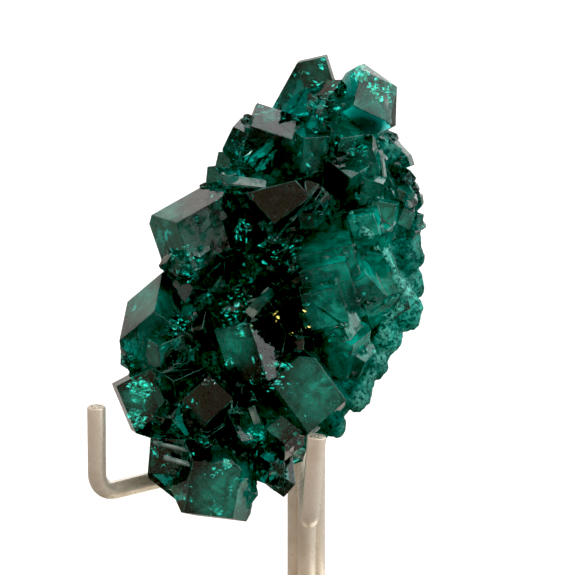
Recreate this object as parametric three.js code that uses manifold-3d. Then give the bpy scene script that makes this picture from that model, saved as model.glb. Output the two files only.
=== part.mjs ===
// A cluster of dioptase crystals on a piece of host rock, held by a stand of three bent rods.
// Millimetres, +Z up. The origin is the middle of the underside of the stand's foot.

import * as THREE from 'three';
import { ConvexGeometry } from 'three/addons/geometries/ConvexGeometry.js';
import { mergeVertices } from 'three/addons/utils/BufferGeometryUtils.js';
import Module from 'manifold-3d';

// Driving dimensions
const ROD_DIAMETER = 2.0;
const ROD_GAP = 0.2; // free space between two rods of the post
const ROD_SIDES = 8;
const ROD_BEND = 2.3; // radius of a bend, on the rod's centre line
const BEND_STEPS = 6;
const ARM_HEIGHT = 30; // centre line of the arms above the table
const ARM_SPREAD = 27.5; // degrees from the stand's plane of symmetry to each arm
const LEFT_ARM_REACH = 26.5;
const RIGHT_ARM_REACH = 23.0;
const HOOK_HEIGHT = 10.0; // hook's end above the arm's centre line
const RIGHT_HOOK_LEAN = 4.5; // degrees, sideways
const REST_LEAN = 19; // degrees that the back rest leans back
const REST_LENGTH = 31;
const BASE_RADIUS = 23;
const BASE_THICKNESS = 5;
const BASE_EDGE = 0.8;
const BASE_SEGMENTS = 30;
const SOCKET_RADIUS = 4.2;
const SOCKET_TOP = 13;
const SOCKET_FILLET = 1;
const BORE_CLEARANCE = 0.25;
const BORE_FLOOR = 4;
const CONTACT_GAP = 0.3; // kept between the specimen's solids and what they rest on

// The specimen is laid out on its own plane, which faces the front a little from the right and from above:
// right and up lie in that plane, and out points away from it, towards the crystals.
const PLANE_AZIMUTH = 27;
const PLANE_ELEVATION = 18;
const SPECIMEN_CENTRE = { right: -4.0, up: 17.5, out: 11.5 }; // from the post's axis at the height of the arms

// The host rock: a slab with rounded edges. Its spine runs from top to bottom, and each station holds the
// middle of the slab, half its width and half its thickness there, before the ends close.
const ROCK = { middle: 1, half: 20, out: -4, squareness: 2.7, detail: 5, lumps: 1.1 };
// Waves of the rock's lumps: each is a share of their height and the two wave vectors that are multiplied.
const LUMP_WAVES = [
  { share: 0.5, first: [7.3, 2.1, 0], second: [0, 6.1, -3.7] },
  { share: 0.35, first: [0, 13.1, 9.7], second: [11.9, 0, 0] },
  { share: 0.25, first: [17.7, 0, 19.3], second: [0, 21.1, 0] },
];
const ROCK_SPINE = [[7.5, 6, 5], [4.7, 11.4, 6], [2.0, 14.0, 6.2], [-1.0, 14.0, 6], [-1.5, 9, 4.5]];

// Round lumps of the rock's crust: [right, up, out, radius]
const LOBES = [
  [14.9, 3.6, -0.6, 2.0], [14.5, -2.3, -0.8, 2.4], [14.9, 7.0, -1.2, 1.7], [13.2, 14.2, -1.6, 1.8],
  [12.6, -5.0, 0.4, 1.8], [11.0, -8.2, -0.6, 1.9], [9.3, -11.4, -1.0, 2.0], [7.0, -14.6, -1.4, 1.6],
  [14.0, 10.4, -1.4, 1.9], [15.0, 0.6, -4.0, 2.0], [12.8, -5.0, -4.4, 2.2], [14.8, 5.6, -5.0, 2.0],
  [10.0, -9.4, -5.0, 2.2], [13.6, 11.0, -5.2, 1.9],
];

// Flat breaks at the rock's back: the direction that each faces, and its distance from the specimen's centre
const BREAKS = [
  [0.05, -0.1, -1, 9.6], [0.8, 0.2, -0.56, 16.6], [-0.5, 0.6, -0.62, 14.0], [-0.7, -0.3, -0.65, 13.4],
  [0.35, -0.7, -0.62, 16.4], [0.1, 0.85, -0.52, 19.6], [-0.25, 0.4, -0.88, 11.6], [0.5, -0.25, -0.83, 12.4],
];

// Grains of the crust: small lumps on the rock to the right of the crystals
const GRAINS = { count: 26, size: [0.9, 1.6], right: 9, sunk: 0.25, seed: 3 };

// Large crystals: where the tip is, where it points, which way one of its three end faces turns, and how wide and
// long the prism is. Points and directions are [right, up, out]. A cut is a flat break or a neighbour's imprint: the
// direction that it faces, and how far it lies from the tip.
const CRYSTALS = [
  { tip: [6.0, 25.3, 2.0], axis: [0.39, 0.68, 0.63], face: [0, 0, 1], wide: 4.8, long: 10 },
  { tip: [7.6, 22.3, 2.4], axis: [0.1, 0.75, 0.65], face: [-1, 0, 0.3], wide: 4.2, long: 9 },
  { tip: [-2.0, 17.6, 6.5], axis: [-0.48, 0.34, 0.81], face: [0.24, 0.78, 0.57], wide: 7.5, long: 12 },
  { tip: [-4.0, 17.6, 5.0], axis: [-0.5, 0.55, 0.67], face: [0.2, 0.8, 0.5], wide: 4.4, long: 9 },
  { tip: [-2.4, 19.1, 3.0], axis: [-0.3, 0.9, 0.3], face: [0, 0, 1], wide: 1.9, long: 6 },
  { tip: [-5.6, 15.0, 2.0], axis: [-0.6, 0.75, 0.2], face: [0, 0, 1], wide: 2.4, long: 7 },
  { tip: [-6.8, 13.4, 1.5], axis: [-0.7, 0.7, 0.2], face: [0, 0, 1], wide: 2.8, long: 7 },
  { tip: [-7.7, 11.4, 1.5], axis: [-0.85, 0.4, 0.3], face: [0, 0, 1], wide: 2.8, long: 7 },
  { tip: [8.9, 19.8, 8.0], axis: [-0.37, -0.16, 0.91], face: [0.66, 0.33, 0.3], wide: 6.9, long: 4.6 },
  { tip: [7.7, 22.7, 5.6], axis: [0.36, 0.85, 0.4], face: [-1, 0.2, 0.3], wide: 3.4, long: 10 },
  { tip: [5.0, 20.6, 5.6], axis: [-0.2, 0.3, 0.93], face: [0.2, 1, 0], wide: 3.0, long: 8 },
  { tip: [7.6, 16.3, 7.4], axis: [-0.1, 0.1, 0.99], face: [0.3, 1, 0], wide: 4.5, long: 9 },
  { tip: [11.0, 15.2, 6.4], axis: [0.4, 0.3, 0.87], face: [1, 0.2, 0], wide: 4.2, long: 9 },
  { tip: [8.7, 12.0, 7.6], axis: [0.2, -0.2, 0.95], face: [0.1, 1, 0], wide: 5.2, long: 10 },
  { tip: [12.2, 11.4, 5.0], axis: [0.6, 0.2, 0.77], face: [0, 1, 0], wide: 3.8, long: 8 },
  { tip: [3.7, 16.3, 7.4], axis: [-0.2, 0.35, 0.9], face: [-1, -0.3, 0], wide: 5.6, long: 10 },
  { tip: [-10.0, 7.2, 8.0], axis: [-0.38, 0.17, 0.91], face: [-0.75, -0.58, 0], wide: 9.0, long: 13 },
  { tip: [-11.1, 3.0, 5.6], axis: [-0.4, 0.1, 0.9], face: [1, 0.2, 0], wide: 2.6, long: 7 },
  { tip: [-9.5, 3.0, 6.8], axis: [-0.1, 0.3, 0.95], face: [0.3, 1, 0], wide: 2.8, long: 7 },
  { tip: [-7.6, 3.5, 7.2], axis: [0.1, -0.2, 0.97], face: [0, 1, 0], wide: 3.0, long: 7 },
  { tip: [0.5, 7.0, 10.2], axis: [-0.12, -0.62, 0.77], face: [0, 0.73, 0.68], wide: 8.2, long: 13,
    cuts: [[-0.25, 0.96, 0.12, 3.9]] },
  { tip: [-2.6, 6.8, 7.6], axis: [-0.3, 0.1, 0.94], face: [0.2, 1, 0], wide: 4.6, long: 9 },
  { tip: [-4.5, 12.2, 8.4], axis: [-0.2, 0.3, 0.93], face: [0, 1, 0], wide: 2.0, long: 8 },
  { tip: [5.3, 11.4, 9.4], axis: [0.55, 0.65, 0.52], face: [-0.6, 0.4, 0.6], wide: 2.6, long: 9 },
  { tip: [6.2, 10.6, 9.2], axis: [0.55, 0.65, 0.52], face: [-0.6, 0.4, 0.6], wide: 2.4, long: 8 },
  { tip: [4.6, 8.2, 9.6], axis: [0.1, 0.1, 0.98], face: [-0.3, 1, 0], wide: 2.8, long: 9 },
  { tip: [8.8, 4.9, 9.2], axis: [0.51, 0.4, 0.76], face: [-0.61, 0.79, 0], wide: 8.8, long: 13 },
  { tip: [8.2, 3.1, 10.4], axis: [0.51, 0.4, 0.76], face: [-0.61, 0.79, 0], wide: 8.4, long: 13 },
  { tip: [7.4, 0.4, 10.8], axis: [0.51, 0.4, 0.76], face: [-0.61, 0.79, 0], wide: 6.4, long: 12 },
  { tip: [-2.2, -3.6, 9.8], axis: [-0.16, 0.48, 0.86], face: [-0.27, 0.85, -0.5], wide: 8.6, long: 13 },
  { tip: [-0.6, -0.4, 7.8], axis: [-0.2, 0.5, 0.84], face: [-0.5, 0.8, 0.3], wide: 4.0, long: 10 },
  { tip: [-6.5, -9.1, 7.8], axis: [0, 0.75, 0.66], face: [0, 0, 1], wide: 5.4, long: 10 },
  { tip: [-2.7, -9.6, 7.2], axis: [0.1, 0.5, 0.86], face: [0.5, 0, 0.9], wide: 5.2, long: 10 },
  { tip: [-12.4, -2.3, 7.0], axis: [-0.17, 0.23, 0.94], face: [0, -1, 0], wide: 9.0, long: 12 },
  { tip: [-16.0, -7.2, 2.4], axis: [-0.7, 0, 0.7], face: [0, 1, 0], wide: 3.8, long: 9 },
  { tip: [-8.2, 0.2, 6.4], axis: [0.1, 0.2, 0.97], face: [-1, 0, 0], wide: 5.0, long: 9 },
  { tip: [-7.3, -4.3, 5.6], axis: [0.2, -0.1, 0.97], face: [1, 0.2, 0], wide: 5.2, long: 9 },
  { tip: [-12.0, -6.0, 6.8], axis: [-0.25, 0.1, 0.96], face: [0, 1, 0], wide: 5.2, long: 10 },
  { tip: [-16.6, -10.4, 4.0], axis: [-0.73, 0.26, 0.63], face: [0, 0, 1], wide: 8.0, long: 12 },
  { tip: [-12.9, -16.0, 4.5], axis: [-0.65, 0.54, 0.53], face: [0, -0.3, 1], wide: 5.8, long: 10 },
  { tip: [-4.0, -24.5, 8.6], axis: [0.3, -0.62, 0.72], face: [-0.3, 0.1, 0.95], wide: 8.3, long: 13 },
  { tip: [1.5, -22.4, 4.0], axis: [0.1, -0.85, 0.5], face: [0, 0, 1], wide: 3.0, long: 7 },
  { tip: [-0.6, -20.8, 6.0], axis: [-0.1, -0.6, 0.8], face: [1, 0, 0.2], wide: 3.6, long: 8 },
  { tip: [1.2, -20.2, 5.0], axis: [0.3, -0.7, 0.6], face: [0, 0.5, 1], wide: 3.4, long: 7 },
  { tip: [-2.2, -23.4, 4.4], axis: [0.2, -0.9, 0.3], face: [0, 0, 1], wide: 2.4, long: 7 },
  { tip: [1.6, -16.6, 9.0], axis: [0, -0.4, 0.9], face: [0, 1, 0], wide: 4.4, long: 10 },
  { tip: [8.2, -11.8, 8.8], axis: [0.77, -0.08, 0.63], face: [0, 0, 1], wide: 9.0, long: 13 },
  { tip: [8.9, -6.0, 8.8], axis: [0.3, 0, 0.95], face: [0, 1, 0], wide: 6.0, long: 10 },
  { tip: [7.6, -3.3, 9.2], axis: [0.1, 0.2, 0.97], face: [1, 0, 0], wide: 5.0, long: 10 },
  { tip: [10.3, -7.8, 7.0], axis: [0.5, -0.2, 0.84], face: [0, 1, 0], wide: 4.6, long: 9 },
  { tip: [10.4, 1.6, 8.2], axis: [0.4, 0.2, 0.9], face: [0, -1, 0], wide: 7.0, long: 11 },
  { tip: [14.6, 0.0, 5.0], axis: [0.66, 0.04, 0.75], face: [-0.6, 0.6, 0.5], wide: 7.0, long: 9 },
  { tip: [11.1, 8.2, 7.4], axis: [0.3, 0.5, 0.8], face: [0, 0, 1], wide: 4.2, long: 9 },
  { tip: [13.6, 9.2, 5.0], axis: [0.6, 0.4, 0.7], face: [0, 0, 1], wide: 3.8, long: 8 },
  { tip: [12.8, 6.3, 6.0], axis: [0.5, 0, 0.87], face: [0, 1, 0], wide: 3.8, long: 8 },
  { tip: [15.8, 8.2, 1.6], axis: [0.85, 0.3, 0.4], face: [0, 0, 1], wide: 2.6, long: 6 },
  { tip: [15.0, 12.0, 1.6], axis: [0.85, 0.3, 0.4], face: [0, 0, 1], wide: 2.4, long: 6 },
  { tip: [3.3, -3.0, 9.2], axis: [-0.1, 0.1, 0.99], face: [0, 1, 0], wide: 5.2, long: 10 },
  { tip: [3.6, -6.4, 9.0], axis: [0.1, -0.1, 0.99], face: [1, 0.4, 0], wide: 5.2, long: 10 },
  { tip: [-4.9, 3.4, 6.4], axis: [0, 0.1, 0.99], face: [0, 1, 0], wide: 5.4, long: 9 },
  { tip: [-3.3, 0.0, 4.6], axis: [0.2, 0, 0.97], face: [1, 0, 0], wide: 6.0, long: 8 },
  { tip: [-4.9, -3.3, 4.2], axis: [0.1, 0.2, 0.97], face: [0, 1, 0], wide: 6.0, long: 8 },
  { tip: [-3.3, -6.2, 4.4], axis: [-0.2, 0.1, 0.97], face: [-1, 0.5, 0], wide: 5.4, long: 8 },
  { tip: [0.5, 3.8, 7.4], axis: [-0.2, -0.1, 0.97], face: [0, 1, 0], wide: 5.4, long: 10 },
  { tip: [-10.3, -9.8, 7.0], axis: [-0.2, 0.1, 0.97], face: [0, 1, 0], wide: 5.4, long: 10 },
  { tip: [-10.7, -13.8, 6.6], axis: [-0.3, -0.1, 0.95], face: [1, 0, 0], wide: 4.6, long: 10 },
  { tip: [-7.0, -16.0, 7.2], axis: [-0.1, -0.2, 0.97], face: [0, 1, 0], wide: 5.4, long: 10 },
  { tip: [-3.0, -16.3, 8.0], axis: [0, -0.3, 0.95], face: [-1, 0, 0], wide: 5.6, long: 11 },
];

// Smaller crystals that fill the front between the large ones and round the rim: how many, how wide and long,
// how far their tips stand off the rock, how much they lean from its surface, and how far right they reach
const FILL = [
  { count: 36, wide: [3.2, 5.0], long: 7.4, stand: [2.6, 5.4], lean: 0.7, rim: 12, seed: 5 },
  { count: 18, wide: [1.8, 2.8], long: 5.0, stand: [1.2, 3.0], lean: 0.9, rim: 13.5, seed: 11 },
];
const FILL_RIM_SLANT = 0.2; // share by which that reach draws in below the middle
const FILL_LOWEST = 0.02; // least share of "out" in the direction of a small crystal
const FILL_RIM_STAND = 0.35; // share of its stand that a small crystal keeps at the rim
const FILL_FACE_OUT = 0.3;

// Angles of a dioptase crystal's end
const END_FACE_SLOPE = THREE.MathUtils.degToRad(51);
const UNEVENNESS = 0.14; // share by which the six sides' distances from the axis differ
const UNEVENNESS_SEED = 60;

const LOOKS = {
  crystal: { color: 0x0a5f4c, roughness: 0.12, metalness: 0 },
  rock: { color: 0x2f9c86, roughness: 0.85, metalness: 0 },
  rod: { color: 0xcbbfa6, roughness: 0.3, metalness: 1 },
  base: { color: 0xb9b0a0, roughness: 0.4, metalness: 1 },
};
const SAME_POINT = 1e-5; // corners closer than this are one
const ON_PLANE = 1e-6;

const wasm = await Module();
wasm.setup();

/** Repeatable numbers between 0 and 1. */
function randomSource(seed) {
  let state = seed >>> 0;
  return () => {
    state = (Math.imul(state, 1664525) + 1013904223) >>> 0;
    return state / 4294967296;
  };
}

function toSolid(geometry) {
  const bare = geometry.index ? geometry.toNonIndexed() : geometry.clone();
  bare.deleteAttribute('normal');
  bare.deleteAttribute('uv');
  const merged = mergeVertices(bare, SAME_POINT);
  const mesh = new wasm.Mesh({
    numProp: 3,
    vertProperties: new Float32Array(merged.attributes.position.array),
    triVerts: new Uint32Array(merged.index.array),
  });
  return new wasm.Manifold(mesh);
}

function toGeometry(solid) {
  const mesh = solid.getMesh();
  const geometry = new THREE.BufferGeometry();
  geometry.setAttribute('position', new THREE.BufferAttribute(new Float32Array(mesh.vertProperties), 3));
  geometry.setIndex(new THREE.BufferAttribute(new Uint32Array(mesh.triVerts), 1));
  geometry.computeVertexNormals();
  return geometry;
}

function named(name, geometry, look) {
  const mesh = new THREE.Mesh(geometry, new THREE.MeshStandardMaterial(look));
  mesh.name = name;
  return mesh;
}

// From the specimen's plane to the part's frame
const planeTurn = new THREE.Matrix4();
{
  const azimuth = THREE.MathUtils.degToRad(PLANE_AZIMUTH);
  const elevation = THREE.MathUtils.degToRad(PLANE_ELEVATION);
  const right = new THREE.Vector3(Math.cos(azimuth), Math.sin(azimuth), 0);
  const out = new THREE.Vector3(
    Math.sin(azimuth) * Math.cos(elevation), -Math.cos(azimuth) * Math.cos(elevation), Math.sin(elevation));
  const up = new THREE.Vector3().crossVectors(out, right);
  planeTurn.makeBasis(right, up, out);
}
const specimenPlace = planeTurn.clone().setPosition(
  new THREE.Vector3(SPECIMEN_CENTRE.right, SPECIMEN_CENTRE.up, SPECIMEN_CENTRE.out)
    .applyMatrix4(planeTurn).add(new THREE.Vector3(0, 0, ARM_HEIGHT)));

/** The corners of the convex body that a list of planes {normal, distance} bounds. */
function cornersOf(planes) {
  const corners = [];
  for (let i = 0; i < planes.length; i++) {
    for (let j = i + 1; j < planes.length; j++) {
      for (let k = j + 1; k < planes.length; k++) {
        const [a, b, c] = [planes[i], planes[j], planes[k]];
        const bc = new THREE.Vector3().crossVectors(b.normal, c.normal);
        const volume = a.normal.dot(bc);
        if (Math.abs(volume) < ON_PLANE) continue;
        const point = bc.multiplyScalar(a.distance)
          .addScaledVector(new THREE.Vector3().crossVectors(c.normal, a.normal), b.distance)
          .addScaledVector(new THREE.Vector3().crossVectors(a.normal, b.normal), c.distance)
          .divideScalar(volume);
        if (planes.every((plane) => plane.normal.dot(point) < plane.distance + ON_PLANE)) corners.push(point);
      }
    }
  }
  return corners;
}

/** One crystal: a six-sided prism with three end faces that meet in its tip. */
function crystal({ tip, axis, face, wide, long, cuts = [] }, random) {
  const along = new THREE.Vector3(...axis).normalize();
  const toFace = new THREE.Vector3(...face);
  toFace.addScaledVector(along, -toFace.dot(along)).normalize();
  const across = new THREE.Vector3().crossVectors(along, toFace);
  const sideways = (degrees) => {
    const angle = THREE.MathUtils.degToRad(degrees);
    return toFace.clone().multiplyScalar(Math.cos(angle)).addScaledVector(across, Math.sin(angle));
  };
  const planes = [{ normal: along.clone().negate(), distance: long }];
  for (let i = 0; i < 3; i++) {
    const normal = along.clone().multiplyScalar(Math.cos(END_FACE_SLOPE))
      .addScaledVector(sideways(120 * i), Math.sin(END_FACE_SLOPE));
    planes.push({ normal, distance: 0 });
  }
  for (let i = 0; i < 6; i++) {
    const distance = (wide / 2) * (1 + UNEVENNESS * (2 * random() - 1));
    planes.push({ normal: sideways(30 + 60 * i), distance });
  }
  for (const [right, up, out, distance] of cuts) {
    planes.push({ normal: new THREE.Vector3(right, up, out).normalize(), distance });
  }
  const place = new THREE.Vector3(...tip);
  return toSolid(new ConvexGeometry(cornersOf(planes).map((corner) => corner.add(place))));
}

/** Smooth lumps on the rock, a height for each direction from its centre. */
function rockLump(direction) {
  const wave = (vector) => Math.sin(direction.dot(new THREE.Vector3(...vector)));
  return LUMP_WAVES.reduce((height, { share, first, second }) =>
    height + ROCK.lumps * share * wave(first) * wave(second), 0);
}

const rockSpine = new THREE.CatmullRomCurve3(ROCK_SPINE.map((station) => new THREE.Vector3(...station)));

/** The rock's surface in a direction from its middle, without its lumps. */
function rockPoint(direction) {
  const power = ROCK.squareness;
  const { x, y, z } = direction;
  const [middle, width, depth] = rockSpine.getPoint((1 - y) / 2).toArray();
  const closing = Math.max(0, 1 - Math.abs(y) ** power) ** (1 / power);
  const angle = Math.atan2(z, x);
  const [cos, sin] = [Math.cos(angle), Math.sin(angle)];
  const reach = closing * (Math.abs(cos) ** power + Math.abs(sin) ** power) ** (-1 / power);
  return new THREE.Vector3(
    middle + width * reach * cos, ROCK.middle + ROCK.half * y, ROCK.out + depth * reach * sin);
}

/** The rock with its crust, grown outwards by a given distance. */
function rock(grow) {
  const body = new THREE.IcosahedronGeometry(1, ROCK.detail);
  const position = body.attributes.position;
  for (let i = 0; i < position.count; i++) {
    const direction = new THREE.Vector3().fromBufferAttribute(position, i).normalize();
    const point = rockPoint(direction).addScaledVector(direction, rockLump(direction) + grow);
    position.setXYZ(i, point.x, point.y, point.z);
  }
  const lump = ([right, up, out, radius], detail) => {
    const geometry = new THREE.IcosahedronGeometry(radius + grow, detail);
    geometry.translate(right, up, out);
    return toSolid(geometry);
  };
  const lumps = [...LOBES.map((lobe) => lump(lobe, 1)), ...grains().map((grain) => lump(grain, 0))];
  return BREAKS.reduce((rest, [right, up, out, distance]) => {
    const normal = new THREE.Vector3(right, up, out).normalize();
    return rest.trimByPlane(normal.negate().toArray(), -distance - grow);
  }, lumps.reduce((whole, one) => whole.add(one), toSolid(body)));
}

/** The crust's grains, each [right, up, out, radius]. */
function grains() {
  const random = randomSource(GRAINS.seed);
  const list = [];
  while (list.length < GRAINS.count) {
    const direction = new THREE.Vector3(random() - 0.5, random() - 0.5, random() - 0.5).normalize();
    const radius = GRAINS.size[0] + (GRAINS.size[1] - GRAINS.size[0]) * random();
    const point = rockPoint(direction).addScaledVector(direction, -GRAINS.sunk * radius);
    if (point.x > GRAINS.right) list.push([...point.toArray(), radius]);
  }
  return list;
}

/** Smaller crystals that stand on the rock's front and rim, each pointing about outwards. */
function fillCrystals({ count, wide, long, stand, lean, rim, seed }) {
  const random = randomSource(seed);
  const between = ([low, high]) => low + (high - low) * random();
  const list = [];
  while (list.length < count) {
    const angle = 2 * Math.PI * random();
    const height = between([FILL_LOWEST, 1]);
    const flat = Math.sqrt(1 - height * height);
    const direction = new THREE.Vector3(flat * Math.cos(angle), flat * Math.sin(angle), height);
    const axis = direction.clone()
      .add(new THREE.Vector3(random() - 0.5, random() - 0.5, random()).multiplyScalar(lean)).normalize();
    const tip = rockPoint(direction)
      .addScaledVector(axis, between(stand) * (FILL_RIM_STAND + (1 - FILL_RIM_STAND) * height));
    const turn = 2 * Math.PI * random();
    const face = [Math.cos(turn), Math.sin(turn), FILL_FACE_OUT];
    const shape = { tip: tip.toArray(), axis: axis.toArray(), face, wide: between(wide), long };
    if (tip.x < rim + FILL_RIM_SLANT * Math.min(0, tip.y)) list.push(shape);
  }
  return list;
}

/** Stations {point, tangent} along a rod: straight runs between the given points, with round bends. */
function rodStations(points) {
  const last = points.length - 1;
  const stations = [{ point: points[0], tangent: points[1].clone().sub(points[0]).normalize() }];
  for (let i = 1; i < last; i++) {
    const inward = points[i].clone().sub(points[i - 1]).normalize();
    const onward = points[i + 1].clone().sub(points[i]).normalize();
    const swing = inward.angleTo(onward);
    const spin = new THREE.Vector3().crossVectors(inward, onward).normalize();
    const start = points[i].clone().addScaledVector(inward, -ROD_BEND * Math.tan(swing / 2));
    const toStart = new THREE.Vector3().crossVectors(inward, spin).multiplyScalar(ROD_BEND);
    const hub = start.clone().sub(toStart);
    for (let step = 0; step <= BEND_STEPS; step++) {
      const turned = (swing * step) / BEND_STEPS;
      stations.push({
        point: hub.clone().add(toStart.clone().applyAxisAngle(spin, turned)),
        tangent: inward.clone().applyAxisAngle(spin, turned),
      });
    }
  }
  stations.push({ point: points[last], tangent: points[last].clone().sub(points[last - 1]).normalize() });
  return stations;
}

/** A rod's centre line, which an extrusion follows station by station. */
class RodLine extends THREE.Curve {
  constructor(stations) {
    super();
    this.stations = stations;
  }

  station(t) {
    return this.stations[Math.round(t * (this.stations.length - 1))];
  }

  getPoint(t, target = new THREE.Vector3()) {
    return target.copy(this.station(t).point);
  }

  getPointAt(t, target) {
    return this.getPoint(t, target);
  }

  getTangentAt(t, target = new THREE.Vector3()) {
    return target.copy(this.station(t).tangent);
  }
}

/** A round rod through the given points, thicker all over by grow. */
function rod(points, grow) {
  const stations = rodStations(points);
  const radius = ROD_DIAMETER / 2 + grow;
  const section = new THREE.Shape(Array.from({ length: ROD_SIDES }, (_, i) => {
    const angle = (2 * Math.PI * (i + 0.5)) / ROD_SIDES;
    return new THREE.Vector2(radius * Math.cos(angle), radius * Math.sin(angle));
  }));
  return new THREE.ExtrudeGeometry(section, { steps: stations.length - 1, extrudePath: new RodLine(stations) });
}

// The stand's three rods, each through its own points
const postRadius = (ROD_DIAMETER + ROD_GAP) / Math.sqrt(3);
const plan = (degrees, radius, height) => {
  const angle = THREE.MathUtils.degToRad(degrees);
  return new THREE.Vector3(radius * Math.cos(angle), radius * Math.sin(angle), height);
};
const rightHeading = -90 + ARM_SPREAD;
const leftHeading = -90 - ARM_SPREAD;
const rodFoot = BORE_FLOOR + CONTACT_GAP;

function armPoints(postAngle, heading, reach, hookLean) {
  const foot = plan(postAngle, postRadius, rodFoot);
  const corner = plan(postAngle, postRadius, ARM_HEIGHT);
  const hook = corner.clone().add(plan(heading, reach, 0));
  const sideways = HOOK_HEIGHT * Math.tan(THREE.MathUtils.degToRad(hookLean));
  const end = hook.clone().add(plan(heading + 90, sideways, HOOK_HEIGHT));
  return [foot, corner, hook, end];
}

const restLean = THREE.MathUtils.degToRad(REST_LEAN);
const restFoot = plan(rightHeading + 120, postRadius, rodFoot);
const restCorner = plan(rightHeading + 120, postRadius, ARM_HEIGHT);
const rods = {
  right_arm_rod: armPoints(rightHeading, rightHeading, RIGHT_ARM_REACH, RIGHT_HOOK_LEAN),
  left_arm_rod: armPoints(rightHeading - 120, leftHeading, LEFT_ARM_REACH, 0),
  back_rest_rod: [restFoot, restCorner, restCorner.clone().add(
    new THREE.Vector3(0, Math.sin(restLean), Math.cos(restLean)).multiplyScalar(REST_LENGTH))],
};

/** The stand's foot, a turned disc with a socket that the three rods stand in. */
function standBase() {
  const bore = postRadius + ROD_DIAMETER / 2 + BORE_CLEARANCE;
  const profile = [
    [0, 0], [BASE_RADIUS - BASE_EDGE, 0], [BASE_RADIUS, BASE_EDGE], [BASE_RADIUS, BASE_THICKNESS - BASE_EDGE],
    [BASE_RADIUS - BASE_EDGE, BASE_THICKNESS], [SOCKET_RADIUS + SOCKET_FILLET, BASE_THICKNESS],
    [SOCKET_RADIUS, BASE_THICKNESS + SOCKET_FILLET], [SOCKET_RADIUS, SOCKET_TOP - BASE_EDGE],
    [SOCKET_RADIUS - BASE_EDGE, SOCKET_TOP], [bore, SOCKET_TOP], [bore, BORE_FLOOR], [0, BORE_FLOOR],
  ];
  const geometry = new THREE.LatheGeometry(profile.map(([x, y]) => new THREE.Vector2(x, y)), BASE_SEGMENTS);
  return geometry.rotateX(Math.PI / 2);
}

/** The largest of a solid's separate pieces: crumbs that a cut leaves behind are dropped. */
function largestPiece(solid) {
  return solid.decompose().reduce((best, piece) => (piece.volume() > best.volume() ? piece : best));
}

/** The rock and its crystals, in the specimen's own plane, clear of each other and of the rods. */
function specimen() {
  const random = randomSource(UNEVENNESS_SEED);
  const fromPart = specimenPlace.clone().invert();
  const clearOfRods = (solid) => Object.values(rods).reduce(
    (rest, points) => rest.subtract(toSolid(rod(points, CONTACT_GAP).applyMatrix4(fromPart))), solid);
  const crystals = [...CRYSTALS, ...FILL.flatMap(fillCrystals)].map((shape) => crystal(shape, random))
    .reduce((whole, one) => whole.add(one));
  const group = new THREE.Group();
  group.applyMatrix4(specimenPlace);
  const druse = largestPiece(clearOfRods(crystals.subtract(rock(CONTACT_GAP))));
  group.add(
    named('dioptase_crystals', toGeometry(druse), LOOKS.crystal),
    named('matrix', toGeometry(largestPiece(clearOfRods(rock(0)))), LOOKS.rock));
  return group;
}

const object = new THREE.Group();
object.add(specimen());
object.add(named('stand_base', standBase(), LOOKS.base));
for (const [name, points] of Object.entries(rods)) {
  object.add(named(name, rod(points, 0), LOOKS.rod));
}
export default object;
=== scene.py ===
"""Dresses a dioptase specimen on its three-rod stand: crystals, host rock, rods, foot and a small studio.

Metres, +Z up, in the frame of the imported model. Sizes that belong to the specimen's own plane are in
millimetres [right, up, out], as in the part's source."""

import math
import random

import bmesh
import bpy
from bpy.props import FloatProperty, FloatVectorProperty, IntProperty, PointerProperty
from bpy.types import Operator, Panel, PropertyGroup
from mathutils import Matrix, Vector
from mathutils.bvhtree import BVHTree


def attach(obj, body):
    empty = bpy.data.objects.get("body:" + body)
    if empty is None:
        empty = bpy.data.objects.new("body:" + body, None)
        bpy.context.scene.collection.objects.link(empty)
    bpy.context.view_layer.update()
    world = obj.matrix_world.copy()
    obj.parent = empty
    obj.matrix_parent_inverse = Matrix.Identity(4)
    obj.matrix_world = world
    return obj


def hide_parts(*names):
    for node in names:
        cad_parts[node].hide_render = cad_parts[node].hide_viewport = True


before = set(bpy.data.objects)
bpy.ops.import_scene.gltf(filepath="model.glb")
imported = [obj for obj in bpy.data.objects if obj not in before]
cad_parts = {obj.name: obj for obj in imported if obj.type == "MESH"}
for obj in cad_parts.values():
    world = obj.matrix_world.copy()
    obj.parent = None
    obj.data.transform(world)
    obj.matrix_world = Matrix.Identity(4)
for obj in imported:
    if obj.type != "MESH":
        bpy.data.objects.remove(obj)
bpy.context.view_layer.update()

bl_info = {
    "name": "Dioptase on a Rod Stand",
    "version": (1, 0, 0),
    "blender": (4, 5, 0),
    "location": "View3D > Sidebar > Dioptase",
    "description": "Dresses a dioptase specimen and its stand, and sets the studio round them",
    "category": "Object",
}

MM = 0.001

# The specimen's plane, as in the part's source: it faces the front a little from the right and from above
PLANE_AZIMUTH = math.radians(27)
PLANE_ELEVATION = math.radians(18)
SPECIMEN_CENTRE = Vector((-4.0, 17.5, 11.5))
ARM_HEIGHT = 30.0

# How far the picture's middle lies from the specimen's centre, and the width that the picture spans there
PICTURE_MIDDLE = Vector((1.9, 0.27, 0.0))
PICTURE_WIDTH = 62.5
CAMERA_DISTANCE = 600.0
SENSOR_WIDTH = 36.0
SEEN_DEPTHS = (0.05, 10)  # metres from the camera
BACKDROP_SIZE = 4.0  # metres
BLACK_LEVEL = 0.02  # light below this shows as black

# The light round the stone: a white tent behind it, which rises and leans to the right, two dimmer sides,
# and a room that is dim in front
TENT_RISE = 0.5
TENT_LEAN = 0.55
TENT_EDGE = (0.15, 0.95)
SIDE_EDGE = (0.55, 0.9)
SIDE_SHARE = 0.5
TENT_STRENGTH = 0.8  # added to the room's 1
BACKDROP_STRENGTH = 1.2
TABLE_GLOW = 0.4

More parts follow.
